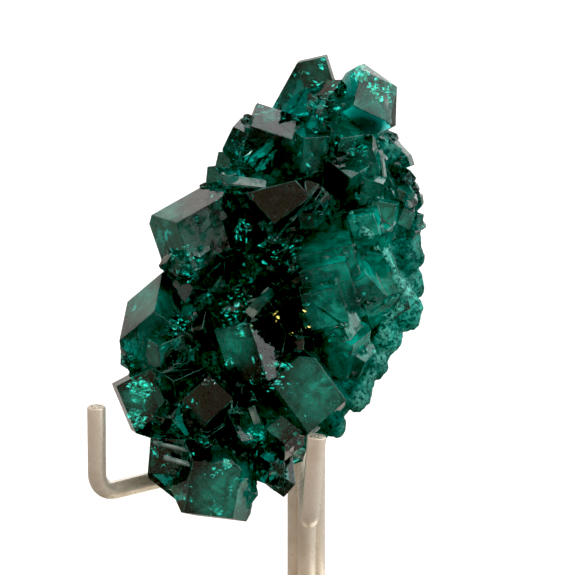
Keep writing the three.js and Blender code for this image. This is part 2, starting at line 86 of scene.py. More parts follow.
# The stand, as in the part's source, in millimetres
ROD_RADIUS = 1.0
ROD_GAP = 0.2
ROD_BEND = 2.3
ROD_SIDES = 36
BEND_STEPS = 14
ROD_END_EDGE = 0.14
POST_RADIUS = (2 * ROD_RADIUS + ROD_GAP) / math.sqrt(3)
ROD_FOOT = 4.3
ARM_SPREAD = 27.5
LEFT_ARM_REACH = 26.5
RIGHT_ARM_REACH = 23.0
HOOK_HEIGHT = 10.0
RIGHT_HOOK_LEAN = math.radians(4.5)
REST_LEAN = math.radians(19)
REST_LENGTH = 31.0
BASE_RADIUS = 23.0
BASE_THICKNESS = 5.0
BASE_SIDES = 128
BASE_EDGE = 0.8
SOCKET_RADIUS = 4.2
SOCKET_TOP = 13.0
BORE_CLEARANCE = 0.25
BORE_RADIUS = POST_RADIUS + ROD_RADIUS + BORE_CLEARANCE
BORE_FLOOR = 4.0
RING_WAVES = (26.0, 41.0)  # two overlaid sets of turning marks, in radians per millimetre

# Edges sharper than these are bevelled, and edges flatter than these are smooth
CRYSTAL_SHARP = math.radians(20)
METAL_SHARP = math.radians(60)
ROD_SMOOTH = math.radians(50)
FOOT_SMOOTH = math.radians(30)
FLAT = math.radians(0.5)
SAME_POINT = 2e-6

# Small crystals. Lengths and stands are in widths of the crystal. A lean is the share of the front's
# direction in a crystal's own direction, and a spread is the share of a random one.
CRYSTAL_INDEX = 1.67  # how strongly a crystal bends light
END_FACE_SLOPE = math.radians(51)  # between a crystal's axis and the normal of an end face
END_FACE_TURN = 30  # degrees about the axis to the first end face
SMALL_CRYSTALS = ((1.0, 2.6), (1.0, 3.4), (0.8, 3.0))  # width and length of the three models
NOTCH = -0.35  # radians: edges that fold inwards by more than this are notches
NOTCH_WIDTHS = (0.3, 1.0)  # as a share of the widest
NOTCH_WIDEST = 1.1
NOTCH_WIDTH_POWER = 1.3  # above 1, wide ones are rarer
NOTCH_STAND = (0.3, 0.9)
NOTCH_LEAN = 0.3
NOTCH_SPREAD = 0.7
ROOT_DEPTH = 2.6
ROOT_ROOM = 0.4
RIM_CRYSTAL_WIDTHS = (1.0, 2.4)
RIM_CRYSTAL_STAND = (0.35, 0.8)
RIM_CRYSTAL_LEAN = 0.6
RIM_CRYSTAL_SPREAD = 0.5
# They cover the rock to the right of this place and above this one, where it faces the front
RIM_LEFT = 8.5
RIM_LOWEST = 4.5
RIM_FACING = 0.05

# Flakes inside the crystals: sizes and depths in millimetres
FLAKE_SIDES = (3, 4, 5, 6)
FLAKE_THICKNESS = 0.3
FLAKE_FLATTENING = 0.15
FLAKE_RAGGEDNESS = 0.4
FLAKE_NARROWNESS = (0.3, 0.9)
FLAKE_SIZES = (0.15, 0.55)
FLAKE_DEPTHS = (0.5, 2.4)
FLAKE_ROOM = 0.5  # room round a flake in a crystal, in its own radius
GLINT_SPREAD = 0.45
GLINT_ROOM = 0.6
VEIL_DEPTHS = (0.5, 2.0)
VEIL_SPREAD = 1.2
VEIL_REACHES = (0.6, 2.0)
VEIL_THICKNESS = 0.1
SPARKLE_SIZES = (0.03, 0.11)
FRONT_LIMIT = -0.2  # faces that turn away from the front by more than this hold no flakes

# Hazy zones of the crystals: middle [right, up] and radius in millimetres, and how cloudy they are
HAZES = (
    ((-12.0, 8.0), 4.5, 0.5), ((8.0, 4.0), 6.5, 0.85), ((13.0, 1.5), 4.5, 1.0), ((9.0, -5.0), 4.5, 1.0),
    ((5.5, -11.0), 6.0, 0.7), ((-4.5, -22.0), 5.0, 0.8), ((-4.0, -6.0), 3.2, 0.9), ((6.0, -2.0), 3.5, 0.8),
    ((5.5, 24.0), 2.6, 0.3), ((9.5, 18.0), 4.0, 0.8), ((11.0, 12.5), 4.0, 0.5), ((-13.6, -1.0), 3.6, 0.8),
    ((-13.5, -6.5), 3.0, 0.5), ((-14.5, -12.0), 2.6, 0.5), ((-5.0, 13.5), 4.0, 0.3), ((4.0, 15.0), 3.6, 0.4),
    ((12.0, 7.2), 4.5, 1.0), ((-1.0, -14.5), 3.0, 0.6), ((12.0, -3.0), 3.0, 0.8),
)
# Painted shade: dark zones of the crystals, where little light comes through: the same three values
SHADES = (((10.6, 18.2), 2.6, 1.0), ((-9.0, 4.5), 3.2, 0.6))
# The dark hollow in the middle, without veils: the same again
HOLLOW = (((-4.0, -3.5), 8.0, 1.0),)
ZONE_CORE = 0.2  # share of a zone's radius inside which it is at its strongest

# Places where healed cracks glitter: [right, up], radius, and how many flakes
GLINTS = (
    ((-2.9, -4.4), 0.5, 16), ((-4.2, -7.6), 0.6, 18), ((11.7, 21.4), 1.5, 50), ((9.6, 23.4), 1.0, 40),
    ((9.2, 15.2), 1.2, 26), ((-9.2, 2.7), 2.2, 60), ((-3.2, 6.2), 0.8, 30), ((1.2, 4.0), 2.4, 60),
    ((-14.2, -10.9), 1.4, 80), ((-10.2, -3.8), 1.2, 26), ((-14.3, -13.9), 0.9, 24), ((-5.6, -24.0), 1.0, 34),
    ((-1.4, -15.8), 1.2, 40), ((10.3, 7.7), 1.5, 50), ((-4.6, -20.6), 3.0, 26), ((1.0, -10.0), 2.2, 30),
    ((6.0, 21.0), 2.0, 30), ((13.8, 5.0), 1.5, 30), ((5.8, 25.2), 1.2, 20), ((-3.8, -1.8), 1.6, 24),
)
# Amber flakes paint a warm reflection, and white ones a white glint, at places given the same way.
AMBER_GLINTS = (((1.1, -3.0), 0.9, 18), ((3.4, -2.5), 0.5, 5), ((4.1, -3.6), 0.4, 5), ((2.2, -4.6), 0.5, 5))
WHITE_GLINTS = (((-6.9, -9.7), 0.5, 16), ((-5.9, -9.7), 0.3, 8), ((-2.0, -0.9), 0.4, 5))
# Sizes of the flakes, how deep they lie, and the strength of the painted light that they give off
GLINT_LOOK = ((0.08, 0.55), (0.2, 1.3), 0.9)
AMBER_LOOK = ((0.15, 0.5), (0.15, 0.5), 5.0)
WHITE_LOOK = ((0.08, 0.25), (0.1, 0.25), 2.0)

# The pale rim between the crystals and the rock, from top to bottom
RIM_PATH = (
    (8.9, 8.2), (10.6, 6.4), (12.2, 4.3), (12.9, 2.9), (13.9, 1.3), (14.7, 0.0), (13.5, -1.6), (12.6, -2.9),
    (12.1, -4.9), (11.8, -6.9), (10.6, -9.4), (9.6, -11.8),
)
RIM_REACH = 0.4
RIM_WIDTH = 1.3
RIM_LUMPS = 12  # for each stretch of the path
RIM_LUMP_SIZES = (0.2, 0.6)
RIM_LUMP_SUNK = 0.4
LUMP_UNEVENNESS = 0.2

# Layers of the rock's crust: kind of pattern, its size, its height in grains, and the level that stays put
CRUST_LAYERS = (("CLOUDS", 2.6, 1.0, 0.5), ("VORONOI", 1.9, -1.1, 0.45), ("VORONOI", 0.75, -0.45, 0.3))
CRUST_SMOOTHING = 6

# Pale splinters that lie on the crystals, painted pale as a reflection where plate edges catch the light:
# both ends [right, up], and their width
SLIVERS = (
    ((12.4, 21.0), (12.9, 17.9), 0.5), ((12.0, 15.2), (12.6, 11.4), 0.45), ((-15.4, -1.1), (-13.2, 2.2), 0.6),
    ((-2.0, -12.5), (-1.3, -14.5), 0.8), ((-12.5, -16.3), (-8.7, -17.2), 0.5),
    ((-11.4, -17.9), (-8.5, -18.7), 0.6), ((0.2, 0.0), (-2.3, -2.7), 1.2), ((-7.0, 14.0), (-6.0, 12.6), 0.7),
    ((-7.6, 11.8), (-6.5, 11.3), 0.8), ((-4.9, 11.9), (-0.4, 11.4), 1.3), ((2.2, 7.6), (5.7, 11.0), 0.7),
    ((11.8, 15.0), (12.8, 14.2), 0.5), ((-2.6, -1.3), (-1.3, -0.9), 0.15),
)
SLIVER_THICKNESS = 0.35
SLIVER_STEP = 1.5  # ends at depths that differ by more than this aren't joined, and the nearer depth holds
SLIVER_SUNK = 0.3
SLIVER_TILT = 0.8
# The slanted cuts that make a splinter of a unit plate: a point of each, and the direction that it faces
SLIVER_CUTS = (
    ((0.42, 0, 0), (0.8, 0.35, 0.4)), ((-0.44, 0, 0), (-0.8, 0.3, 0.5)), ((0, 0.2, 0.2), (0.05, 0.75, 0.6)),
)


def specimen_plane():
    """The matrix from [right, up, out] in millimetres to the frame in metres."""
    right = Vector((math.cos(PLANE_AZIMUTH), math.sin(PLANE_AZIMUTH), 0))
    out = Vector((
        math.sin(PLANE_AZIMUTH) * math.cos(PLANE_ELEVATION),
        -math.cos(PLANE_AZIMUTH) * math.cos(PLANE_ELEVATION),
        math.sin(PLANE_ELEVATION),
    ))
    turn = Matrix((right, out.cross(right), out)).transposed()
    place = turn @ SPECIMEN_CENTRE + Vector((0, 0, ARM_HEIGHT))
    return Matrix.Scale(MM, 4) @ Matrix.Translation(place) @ turn.to_4x4()


PLANE = specimen_plane()
PLANE_OUT = (PLANE.to_3x3() @ Vector((0, 0, 1))).normalized()
# A mirror that faces this way shows the tent's bright top
BRIGHT_FACING = (PLANE.to_3x3() @ Vector((-0.1, 0.8, 0.6))).normalized()
SLIVER_FACING = (PLANE.to_3x3() @ Vector((-0.2, 1.0, 0))).normalized()


def select_only(obj):
    """Makes obj the one selected and active object."""
    bpy.ops.object.select_all(action="DESELECT")
    obj.select_set(True)
    bpy.context.view_layer.objects.active = obj


def cad_copy(node, name):
    """A copy of a CAD node whose loose triangles are merged and whose flat faces are whole."""
    obj = bpy.data.objects.new(name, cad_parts[node].data.copy())
    obj.data.name = name
    bpy.context.scene.collection.objects.link(obj)
    obj.data.materials.clear()
    select_only(obj)
    bpy.ops.mesh.customdata_custom_splitnormals_clear()
    bpy.ops.object.mode_set(mode="EDIT")
    bpy.ops.mesh.select_all(action="SELECT")
    bpy.ops.mesh.remove_doubles(threshold=SAME_POINT)
    bpy.ops.mesh.dissolve_limited(angle_limit=FLAT)
    bpy.ops.object.mode_set(mode="OBJECT")
    bpy.ops.object.shade_flat()
    return obj


def apply_modifier(obj, kind, **settings):
    """Adds a modifier with these settings and applies it."""
    select_only(obj)
    modifier = obj.modifiers.new(kind.title(), kind)
    for key, value in settings.items():
        setattr(modifier, key, value)
    bpy.ops.object.modifier_apply(modifier=modifier.name)


def surface_tree(obj):
    """A search tree of an object's surface."""
    graph = bpy.context.evaluated_depsgraph_get()
    return BVHTree.FromObject(obj, graph)


def surface_points(obj, count, chance, accept):
    """Random (point, normal) pairs spread evenly over the accepted parts of an object's surface."""
    mesh = obj.data
    mesh.calc_loop_triangles()
    triangles = [t for t in mesh.loop_triangles if accept(t.center, t.normal)]
    picked = chance.choices(triangles, weights=[t.area for t in triangles], k=count)
    points = []
    for triangle in picked:
        a, b, c = (mesh.vertices[i].co for i in triangle.vertices)
        u, v = chance.random(), chance.random()
        if u + v > 1:
            u, v = 1 - u, 1 - v
        points.append((a + u * (b - a) + v * (c - a), triangle.normal.copy()))
    return points


def turn_to(direction, chance):
    """A turn that takes +Z to a direction, with a random spin about it."""
    spin = Matrix.Rotation(2 * math.pi * chance.random(), 4, "Z")
    return direction.to_track_quat("Z", "Y").to_matrix().to_4x4() @ spin


def scatter(masters, placings, name):
    """One object made of a master's copy at each (master number, matrix), with its place in its mesh."""
    copies = []
    for number, matrix in placings:
        copy = bpy.data.objects.new(name, masters[number].data.copy())
        copy.data.transform(matrix)
        bpy.context.scene.collection.objects.link(copy)
        copies.append(copy)
    bpy.ops.object.select_all(action="DESELECT")
    for copy in copies:
        copy.select_set(True)
    bpy.context.view_layer.objects.active = copies[0]
    bpy.ops.object.join()
    for master in masters:
        bpy.data.objects.remove(master)
    return copies[0]


def random_way(chance):
    """A random direction."""
    return Vector([chance.gauss(0, 1) for _ in range(3)]).normalized()


def on_front(tree, right, up):
    """The point of the surface that the front shows at [right, up], and its normal, or None."""
    start = PLANE @ Vector((right, up, 100.0))
    hit, normal, _, _ = tree.ray_cast(start, -PLANE_OUT)
    return None if hit is None else (hit, normal)


def finish_piece(obj, materials, slot, *nodes):
    """Gives a piece its materials, and puts it on the part in the place of these CAD nodes."""
    for material in materials:
        obj.data.materials.append(material)
    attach(obj, "root")
    if nodes:
        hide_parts(*nodes)


class Number:
    """A number that varies over a surface: the output of a node, with arithmetic that adds Math nodes."""

    def __init__(self, nodes, socket):
        self.nodes = nodes
        self.socket = socket

    def _math(self, operation, *values):
        made = self.nodes.add("ShaderNodeMath", {"operation": operation}, *values)
        return Number(self.nodes, made.outputs[0])

    def __add__(self, other):
        return self._math("ADD", self, other)

    def __sub__(self, other):
        return self._math("SUBTRACT", self, other)

    def __rsub__(self, other):
        return self._math("SUBTRACT", other, self)

    def __mul__(self, other):
        return self._math("MULTIPLY", self, other)

    __radd__ = __add__
    __rmul__ = __mul__

    def highest(self, other):
        return self._math("MAXIMUM", self, other)

    def lowest(self, other):
        return self._math("MINIMUM", self, other)

    def sine(self):
        return self._math("SINE", self)

    def step(self, low, high):
        """0 below low, 1 above high, smooth between them."""
        settings = {"interpolation_type": "SMOOTHSTEP"}
        made = self.nodes.add("ShaderNodeMapRange", settings, Value=self,
                              **{"From Min": low, "From Max": high})
        return Number(self.nodes, made.outputs["Result"])


class Nodes:
    """A node tree that is built by expressions."""

    def __init__(self, tree):
        self.tree = tree
        tree.nodes.clear()

    def add(self, kind, settings=None, *values, **named):
        """A node of this kind: its settings first, then the values or links of its sockets."""
        node = self.tree.nodes.new(kind)
        for key, value in (settings or {}).items():
            setattr(node, key, value)
        for key, value in [*enumerate(values), *named.items()]:
            self.link(node.inputs[key], value)
        return node

    def link(self, socket, value):
        if isinstance(value, Number):
            value = value.socket
        if isinstance(value, bpy.types.NodeSocket):
            self.tree.links.new(value, socket)
        elif socket.type == "RGBA":
            socket.default_value = (*value[:3], 1)
        else:
            socket.default_value = value

    def place(self, scale=1.0):
        """Object coordinates in metres, scaled."""
        coordinates = self.add("ShaderNodeTexCoord").outputs["Object"]
        made = self.add("ShaderNodeVectorMath", {"operation": "SCALE"}, coordinates, Scale=scale)
        return made.outputs[0]

    def noise(self, per_mm, detail=3.0, roughness=0.55, distortion=0.0):
        made = self.add("ShaderNodeTexNoise", {}, Vector=self.place(per_mm / MM), Scale=1.0, Detail=detail,
                        Roughness=roughness, Distortion=distortion)
        return Number(self, made.outputs[0])

    def cells(self, per_mm):
        """The distance from the middle of each cell, in cells of about one over per_mm."""
        made = self.add("ShaderNodeTexVoronoi", {}, Vector=self.place(per_mm / MM), Scale=1.0)
        return Number(self, made.outputs["Distance"])

    def vector(self, operation, *values):
        return self.add("ShaderNodeVectorMath", {"operation": operation}, *values)

    def facets(self, per_mm):
        """A height that is flat but slopes another way in each cell, as a crystal face is made of."""
        place = self.place(per_mm / MM)
        cell = self.add("ShaderNodeTexVoronoi", {}, Vector=place, Scale=1.0)
        away = self.vector("SUBTRACT", place, cell.outputs["Position"]).outputs[0]
        lean = self.vector("SUBTRACT", cell.outputs["Color"], (0.5, 0.5, 0.5)).outputs[0]
        return Number(self, self.vector("DOT_PRODUCT", away, lean).outputs["Value"])

    def plane_place(self):
        """Coordinates [right, up, out] in millimetres, in the specimen's own plane."""
        back = PLANE.inverted()
        coordinates = self.add("ShaderNodeTexCoord").outputs["Object"]
        made = self.add("ShaderNodeMapping", {"vector_type": "POINT"}, Vector=coordinates,
                        Location=back.translation, Scale=(1 / MM,) * 3,
                        Rotation=back.to_3x3().normalized().to_euler())
        return made.outputs[0]

    def zones(self, zones):
        """The sum of round zones of the specimen's plane, each from its share in the middle to 0 outside."""
        flat = self.vector("MULTIPLY", self.plane_place(), (1.0, 1.0, 0.0)).outputs[0]
        total = 0.0
        for spot, radius, share in zones:
            away = self.vector("DISTANCE", flat, (*spot, 0.0)).outputs["Value"]
            total = Number(self, away).step(radius, ZONE_CORE * radius) * share + total
        return total

    def mix(self, factor, low, high):
        made = self.add("ShaderNodeMix", {"data_type": "RGBA"})
        self.link(made.inputs["Factor"], factor)
        self.link(made.inputs[6], low)
        self.link(made.inputs[7], high)
        return made.outputs[2]

    def bump(self, height, strength, distance, normal=None):
        made = self.add("ShaderNodeBump", {}, Height=height, Strength=strength, Distance=distance)
        if normal is not None:
            self.link(made.inputs["Normal"], normal)
        return made.outputs[0]

    def output(self, surface, volume=None):
        made = self.add("ShaderNodeOutputMaterial", {}, Surface=surface)
        if volume is not None:
            self.link(made.inputs["Volume"], volume)


def new_material(name):
    """A material and its empty tree."""
    material = bpy.data.materials.new(name)
    material.use_nodes = True
    return material, Nodes(material.node_tree)


def crystal_inside(nodes, colours):
    """The inside of a crystal, which lets little but green through."""
    body = nodes.add("ShaderNodeVolumeAbsorption", {}, Color=colours.crystal_body,
                     Density=colours.crystal_density / MM)
    return body.outputs[0]


def dioptase_material(colours):
    """Clear green crystal: plain transmission with strong absorption, cloudy zones under its skin, and
    painted shade in a few dark zones.
    """
    material, nodes = new_material("Dioptase crystal")
    wave = nodes.noise(0.35, detail=2.0)
    fine = nodes.noise(3.0, detail=4.0)
    normal = nodes.bump(nodes.facets(0.45), 1.0, 0.16 * MM)
    normal = nodes.bump(nodes.facets(1.3), 1.0, 0.03 * MM, normal)
    normal = nodes.bump(wave + 0.1 * fine, 0.2, 0.10 * MM, normal)
    clear = nodes.add("ShaderNodeBsdfPrincipled", {}, **{
        "Base Color": colours.crystal_skin, "Roughness": 0.02, "IOR": CRYSTAL_INDEX,
        "Transmission Weight": 1.0, "Normal": normal})
    wisps = nodes.noise(0.6, detail=5.0, roughness=0.65, distortion=0.8)
    shade = nodes.zones(SHADES)
    tone = nodes.mix(wisps.step(0.3, 0.75), colours.crystal_cloud, colours.crystal_haze)
    tone = nodes.mix(shade.lowest(1), tone, colours.crystal_shade)
    cloudy = nodes.add("ShaderNodeBsdfPrincipled", {}, **{
        "Base Color": tone, "Roughness": 0.08, "IOR": CRYSTAL_INDEX, "Normal": normal})
    haze = nodes.zones(HAZES) * (0.5 + 0.55 * wisps)
    veils = nodes.noise(0.22, detail=3.0).step(0.48, 0.72)
    specks = nodes.noise(1.6, detail=5.0, roughness=0.7).step(0.45, 0.7)
    share = haze + veils * specks * 0.2 * (1 - nodes.zones(HOLLOW)) + shade
    made = nodes.add("ShaderNodeMixShader", {}, share.lowest(0.85), clear.outputs[0], cloudy.outputs[0])
    nodes.output(made.outputs[0], crystal_inside(nodes, colours))
    return material


def painted_highlight_edge_material(colours):
    """The crystals' edges: a thin pale line of painted highlight, broken in places."""
    material, nodes = new_material("Crystal edge")
    clear = nodes.add("ShaderNodeBsdfPrincipled", {}, **{
        "Base Color": colours.crystal_skin, "Roughness": 0.1, "IOR": CRYSTAL_INDEX,
        "Transmission Weight": 1.0})
    pale = nodes.add("ShaderNodeBsdfPrincipled", {}, **{
        "Base Color": colours.painted_edge_highlight, "Roughness": 0.3, "IOR": CRYSTAL_INDEX})
    painted_highlight_mask = nodes.noise(0.7, detail=4.0, roughness=0.7).step(0.4, 0.65) * 0.45
    made = nodes.add("ShaderNodeMixShader", {}, painted_highlight_mask, clear.outputs[0], pale.outputs[0])
    nodes.output(made.outputs[0], crystal_inside(nodes, colours))
    return material


def glint_material(name, colour, painted_glow):
    """Healed cracks inside the crystals: small bright mirrors, duller in places, that give off painted light
    in others.
    """
    material, nodes = new_material(name)
    dull = nodes.noise(1.5, detail=2.0)
    painted_glint_mask = nodes.noise(2.2, detail=1.0).step(0.52, 0.6)
    body = nodes.add("ShaderNodeBsdfPrincipled", {}, **{
        "Base Color": colour, "Metallic": 1.0, "Roughness": 0.1 + 0.35 * dull,
        "Emission Color": nodes.mix(painted_glint_mask, (0, 0, 0), colour), "Emission Strength": painted_glow})
    nodes.output(body.outputs[0])
    return material


def splinter_material(colours):
    """Frosted crystal splinters, pale grey-green: the pale colour is a painted reflection of the light that
    the plates' edges catch.
    """
    material, nodes = new_material("Splinter")
    frost_and_painted_sheen = nodes.noise(1.2, detail=4.0, roughness=0.6)
    tone = nodes.mix(frost_and_painted_sheen.step(0.3, 0.7), colours.splinter_dark, colours.splinter)
    body = nodes.add("ShaderNodeBsdfPrincipled", {}, **{
        "Base Color": tone, "Roughness": 0.15 + 0.3 * frost_and_painted_sheen, "IOR": CRYSTAL_INDEX,
        "Normal": nodes.bump(nodes.facets(1.5), 1.0, 0.05 * MM)})
    nodes.output(body.outputs[0])
    return material


def rock_material(colours):
    """Host rock: a granular turquoise crust with small dark pits, palest next to the crystals."""
    material, nodes = new_material("Host rock")
    broad = nodes.noise(0.16, detail=3.0)
    grain = nodes.noise(1.8, detail=5.0, roughness=0.7)
    pits = nodes.noise(2.4, detail=5.0, roughness=0.75).step(0.38, 0.5)
    pits = pits * nodes.cells(3.4).step(0.08, 0.26)
    tone = nodes.mix(grain.step(0.35, 0.7), colours.rock_mid, colours.rock_light)
    tone = nodes.mix(broad.step(0.35, 0.65) * 0.75, tone, colours.rock_dark)
    rim = nodes.zones((spot, RIM_WIDTH, 1.0) for spot in RIM_PATH)
    rim = (rim * (0.3 + grain)).lowest(1)
    tone = nodes.mix(pits, colours.rock_dark, nodes.mix(rim, tone, colours.rock_rim))
    normal = nodes.bump(grain + 0.8 * pits, 1.0, 0.2 * MM)
    body = nodes.add("ShaderNodeBsdfPrincipled", {}, **{
        "Base Color": tone, "Roughness": 0.55 + 0.3 * broad, "Normal": normal})
    nodes.output(body.outputs[0])
    return material


def rod_material(colours):
    """Bright drawn rod with faint scratches along it and dull spots."""
    material, nodes = new_material("Rod metal")
    drawn = nodes.noise(0.9, detail=4.0)
    dull = nodes.noise(0.25, detail=3.0).step(0.45, 0.7)
    colour = nodes.mix(dull, colours.rod, colours.rod_dull)
    body = nodes.add("ShaderNodeBsdfPrincipled", {}, **{
        "Base Color": colour, "Metallic": 0.4, "Roughness": 0.24 + 0.12 * dull + 0.06 * drawn,
        "Normal": nodes.bump(drawn, 0.15, 0.02 * MM)})
    nodes.output(body.outputs[0])
    return material


def cut_end_material(colours):
    """A rod's rough end, as the cutter left it."""
    material, nodes = new_material("Cut rod end")
    torn = nodes.noise(3.5, detail=4.0, roughness=0.7)
    colour = nodes.mix(torn.step(0.4, 0.62), colours.rod_cut, colours.rod)
    body = nodes.add("ShaderNodeBsdfPrincipled", {}, **{
        "Base Color": colour, "Metallic": 1.0, "Roughness": 0.35 + 0.3 * torn,
        "Normal": nodes.bump(torn, 0.8, 0.15 * MM)})
    nodes.output(body.outputs[0])
    return material


def foot_material(colours):
    """Turned metal: fine rings round the axis, satin, with duller patches."""
    material, nodes = new_material("Turned foot")
    coordinates = nodes.add("ShaderNodeTexCoord").outputs["Object"]
    flat = nodes.vector("MULTIPLY", coordinates, (1 / MM, 1 / MM, 0.0)).outputs[0]
    radius = Number(nodes, nodes.vector("LENGTH", flat).outputs["Value"])
    coarse, fine = ((radius * wave).sine() for wave in RING_WAVES)
    rings = coarse * 0.5 + fine * 0.5
    dull = nodes.noise(0.12, detail=4.0).step(0.4, 0.7)
    body = nodes.add("ShaderNodeBsdfPrincipled", {}, **{
        "Base Color": nodes.mix(dull, colours.rod, colours.rod_dull), "Metallic": 1.0,
        "Roughness": 0.26 + 0.12 * dull, "Normal": nodes.bump(rings, 0.3, 0.01 * MM)})
    nodes.output(body.outputs[0])
    return material


def table_material(colours):
    """A pale table top that throws little light back up at the stone."""
    material, nodes = new_material("White table")
    seen = nodes.add("ShaderNodeLightPath").outputs["Is Camera Ray"]
    body = nodes.add("ShaderNodeBsdfPrincipled", {}, **{
        "Base Color": nodes.mix(seen, colours.table_bounce, colours.table), "Roughness": 0.6,
        "Emission Color": nodes.mix(seen, (0, 0, 0), colours.table), "Emission Strength": TABLE_GLOW})
    nodes.output(body.outputs[0])
    return material


def colour_setting(name, description, default):
    """A colour that the user can change."""
    return FloatVectorProperty(name=name, description=description, subtype="COLOR", default=default,
                               min=0, max=1)


def length_setting(name, description, default, least=0.0):
    """A length that the user can change, given here in millimetres."""
    return FloatProperty(name=name, description=description, subtype="DISTANCE", unit="LENGTH",
                         default=default * MM, min=least * MM)


def count_setting(name, description, default):
    """A number of pieces that the user can change."""
    return IntProperty(name=name, description=description, default=default, min=0)


class DioptaseColours(PropertyGroup):
    """Colours of the crystals, the rock, the stand and the table."""

    crystal_skin: colour_setting(
        "Crystal skin", "Tint of light that passes a crystal's surface", (0.75, 1.0, 0.95))
    crystal_body: colour_setting(
        "Crystal body", "Colour that a crystal's inside lets through", (0.0, 0.82, 0.80))
    crystal_density: FloatProperty(
        name="Crystal density", description="How fast a crystal's inside takes up light, per millimetre",
        default=1.1, min=0, max=10)
    crystal_cloud: colour_setting(
        "Cloudy crystal", "Colour of cloudy zones under a crystal's skin", (0.0, 0.17, 0.12))
    # The dark crystal colour is painted shade.
    crystal_shade: colour_setting(
        "Dark crystal", "Colour of the dark zones under a crystal's skin", (0.0, 0.06, 0.045))
    crystal_haze: colour_setting(
        "Hazy crystal", "Colour of the palest wisps under a crystal's skin", (0.02, 0.62, 0.48))
    # Painted highlight: the pale colour of the crystals' edges.
    painted_edge_highlight: colour_setting(
        "Crystal edge", "Colour of the worn edges of the crystals", (0.05, 0.42, 0.34))
    # The glint colours tint the flakes and the painted light that they give off.
    glint: colour_setting(
        "Glint", "Colour of the healed cracks inside a crystal", (0.12, 0.95, 0.80))
    # The amber and white glint colours are painted reflections.
    amber_glint: colour_setting(
        "Amber glint", "Colour of the few cracks that glitter amber", (1.0, 0.62, 0.18))
    white_glint: colour_setting(
        "White glint", "Colour of the few cracks that glitter white", (0.95, 0.95, 1.0))
    splinter: colour_setting(
        "Splinter", "Colour of the pale splinters on the crystals", (0.30, 0.42, 0.40))
    splinter_dark: colour_setting(
        "Splinter, dark", "Colour of the clearer places of the pale splinters", (0.10, 0.20, 0.18))
    rock_dark: colour_setting(
        "Rock, dark", "Darkest tone of the rock's crust", (0.01, 0.12, 0.09))
    rock_mid: colour_setting(
        "Rock, middle", "Main tone of the rock's crust", (0.02, 0.44, 0.35))
    rock_light: colour_setting(
        "Rock, light", "Tone of the crust's pale grains", (0.08, 0.72, 0.58))
    rock_rim: colour_setting(
        "Rock, rim", "Tone of the rim between the rock and the crystals", (0.24, 1.0, 0.86))
    rod: colour_setting(
        "Rod", "Colour of the bright rods", (0.97, 0.90, 0.78))
    rod_dull: colour_setting(
        "Rod, dull", "Colour of the rods' dull spots", (0.84, 0.76, 0.63))
    rod_cut: colour_setting(
        "Cut end", "Colour of the low places of a rod's cut end", (0.30, 0.26, 0.21))
    table: colour_setting(
        "Table", "Colour of the table top and backdrop", (0.9, 0.9, 0.9))
    table_bounce: colour_setting(
        "Table bounce", "Colour of the light that the table throws back at the stone", (0.30, 0.28, 0.26))
    room: colour_setting(
        "Room", "Colour of the dim room in front of the stone", (0.56, 0.47, 0.41))


class DioptaseSizes(PropertyGroup):
    """Sizes of what the dressing adds to the solids."""

    edge_width: length_setting("Edge width", "Width of the soft edge between two crystal faces", 0.06)
    notch_spacing: length_setting(
        "Small crystal spacing", "Distance between small crystals along a notch", 2.2, 0.2)
    rim_count: count_setting("Rim crystals", "How many small crystals cover the rock's upper rim", 80)
    flake_count: count_setting("Flakes", "How many cracked flakes lie all over inside the crystals", 260)
    veil_count: count_setting("Veils", "How many veils of sparkles lie inside the crystals", 60)
    veil_sparkles: count_setting("Sparkles", "How many sparkles make one veil", 40)
    rock_mesh: length_setting("Rock mesh", "Size of the mesh that the rock's crust is made from", 0.24, 0.1)
    rock_grain: length_setting("Rock grain", "Height of the grains and lumps of the rock's crust", 0.5)


class DIOPTASE_OT_crystals(Operator):
    """Take the crystal cluster over from the solids, with whole flat faces"""

    bl_idname = "dioptase.crystals"
    bl_label = "Crystals"

    def execute(self, context):
        obj = cad_copy("dioptase_crystals", "crystals")
        colours = context.scene.dioptase_colours
        materials = [dioptase_material(colours), painted_highlight_edge_material(colours)]
        finish_piece(obj, materials, "dioptase", "dioptase_crystals")
        return {"FINISHED"}


def small_crystal(width, length):
    """A six-sided prism along +Z whose end is cut by three faces; its tip is at the origin."""
    bpy.ops.object.select_all(action="DESELECT")
    bpy.ops.mesh.primitive_cylinder_add(vertices=6, radius=width / 2, depth=length,
                                        location=(0, 0, -length / 2))
    obj = bpy.context.active_object
    obj.name = "small"
    bpy.ops.object.transform_apply(location=True)
    bpy.ops.object.mode_set(mode="EDIT")
    for side in range(3):
        angle = math.radians(END_FACE_TURN + 120 * side)
        normal = (math.sin(END_FACE_SLOPE) * math.cos(angle), math.sin(END_FACE_SLOPE) * math.sin(angle),
                  math.cos(END_FACE_SLOPE))
        bpy.ops.mesh.select_all(action="SELECT")
        bpy.ops.mesh.bisect(plane_co=(0, 0, 0), plane_no=normal, use_fill=True, clear_outer=True)
    bpy.ops.object.mode_set(mode="OBJECT")
    return obj


def flake(sides):
    """A thin flake of unit radius with an uneven outline."""
    bpy.ops.object.select_all(action="DESELECT")
    bpy.ops.mesh.primitive_cylinder_add(vertices=sides, radius=1, depth=FLAKE_THICKNESS)
    obj = bpy.context.active_object
    obj.name = "flake"
    bpy.ops.object.mode_set(mode="EDIT")
    bpy.ops.mesh.select_all(action="SELECT")
    bpy.ops.transform.vertex_random(offset=FLAKE_RAGGEDNESS, seed=sides)
    bpy.ops.transform.resize(value=(1, 1, FLAKE_FLATTENING))
    bpy.ops.object.mode_set(mode="OBJECT")
    return obj


def clear_inside(tree, centre, reach):
    """Whether a ball round a point inside the surface stays inside it."""
    hit, normal, _, distance = tree.find_nearest(centre)
    return hit is not None and distance > reach and (centre - hit).dot(normal) < 0


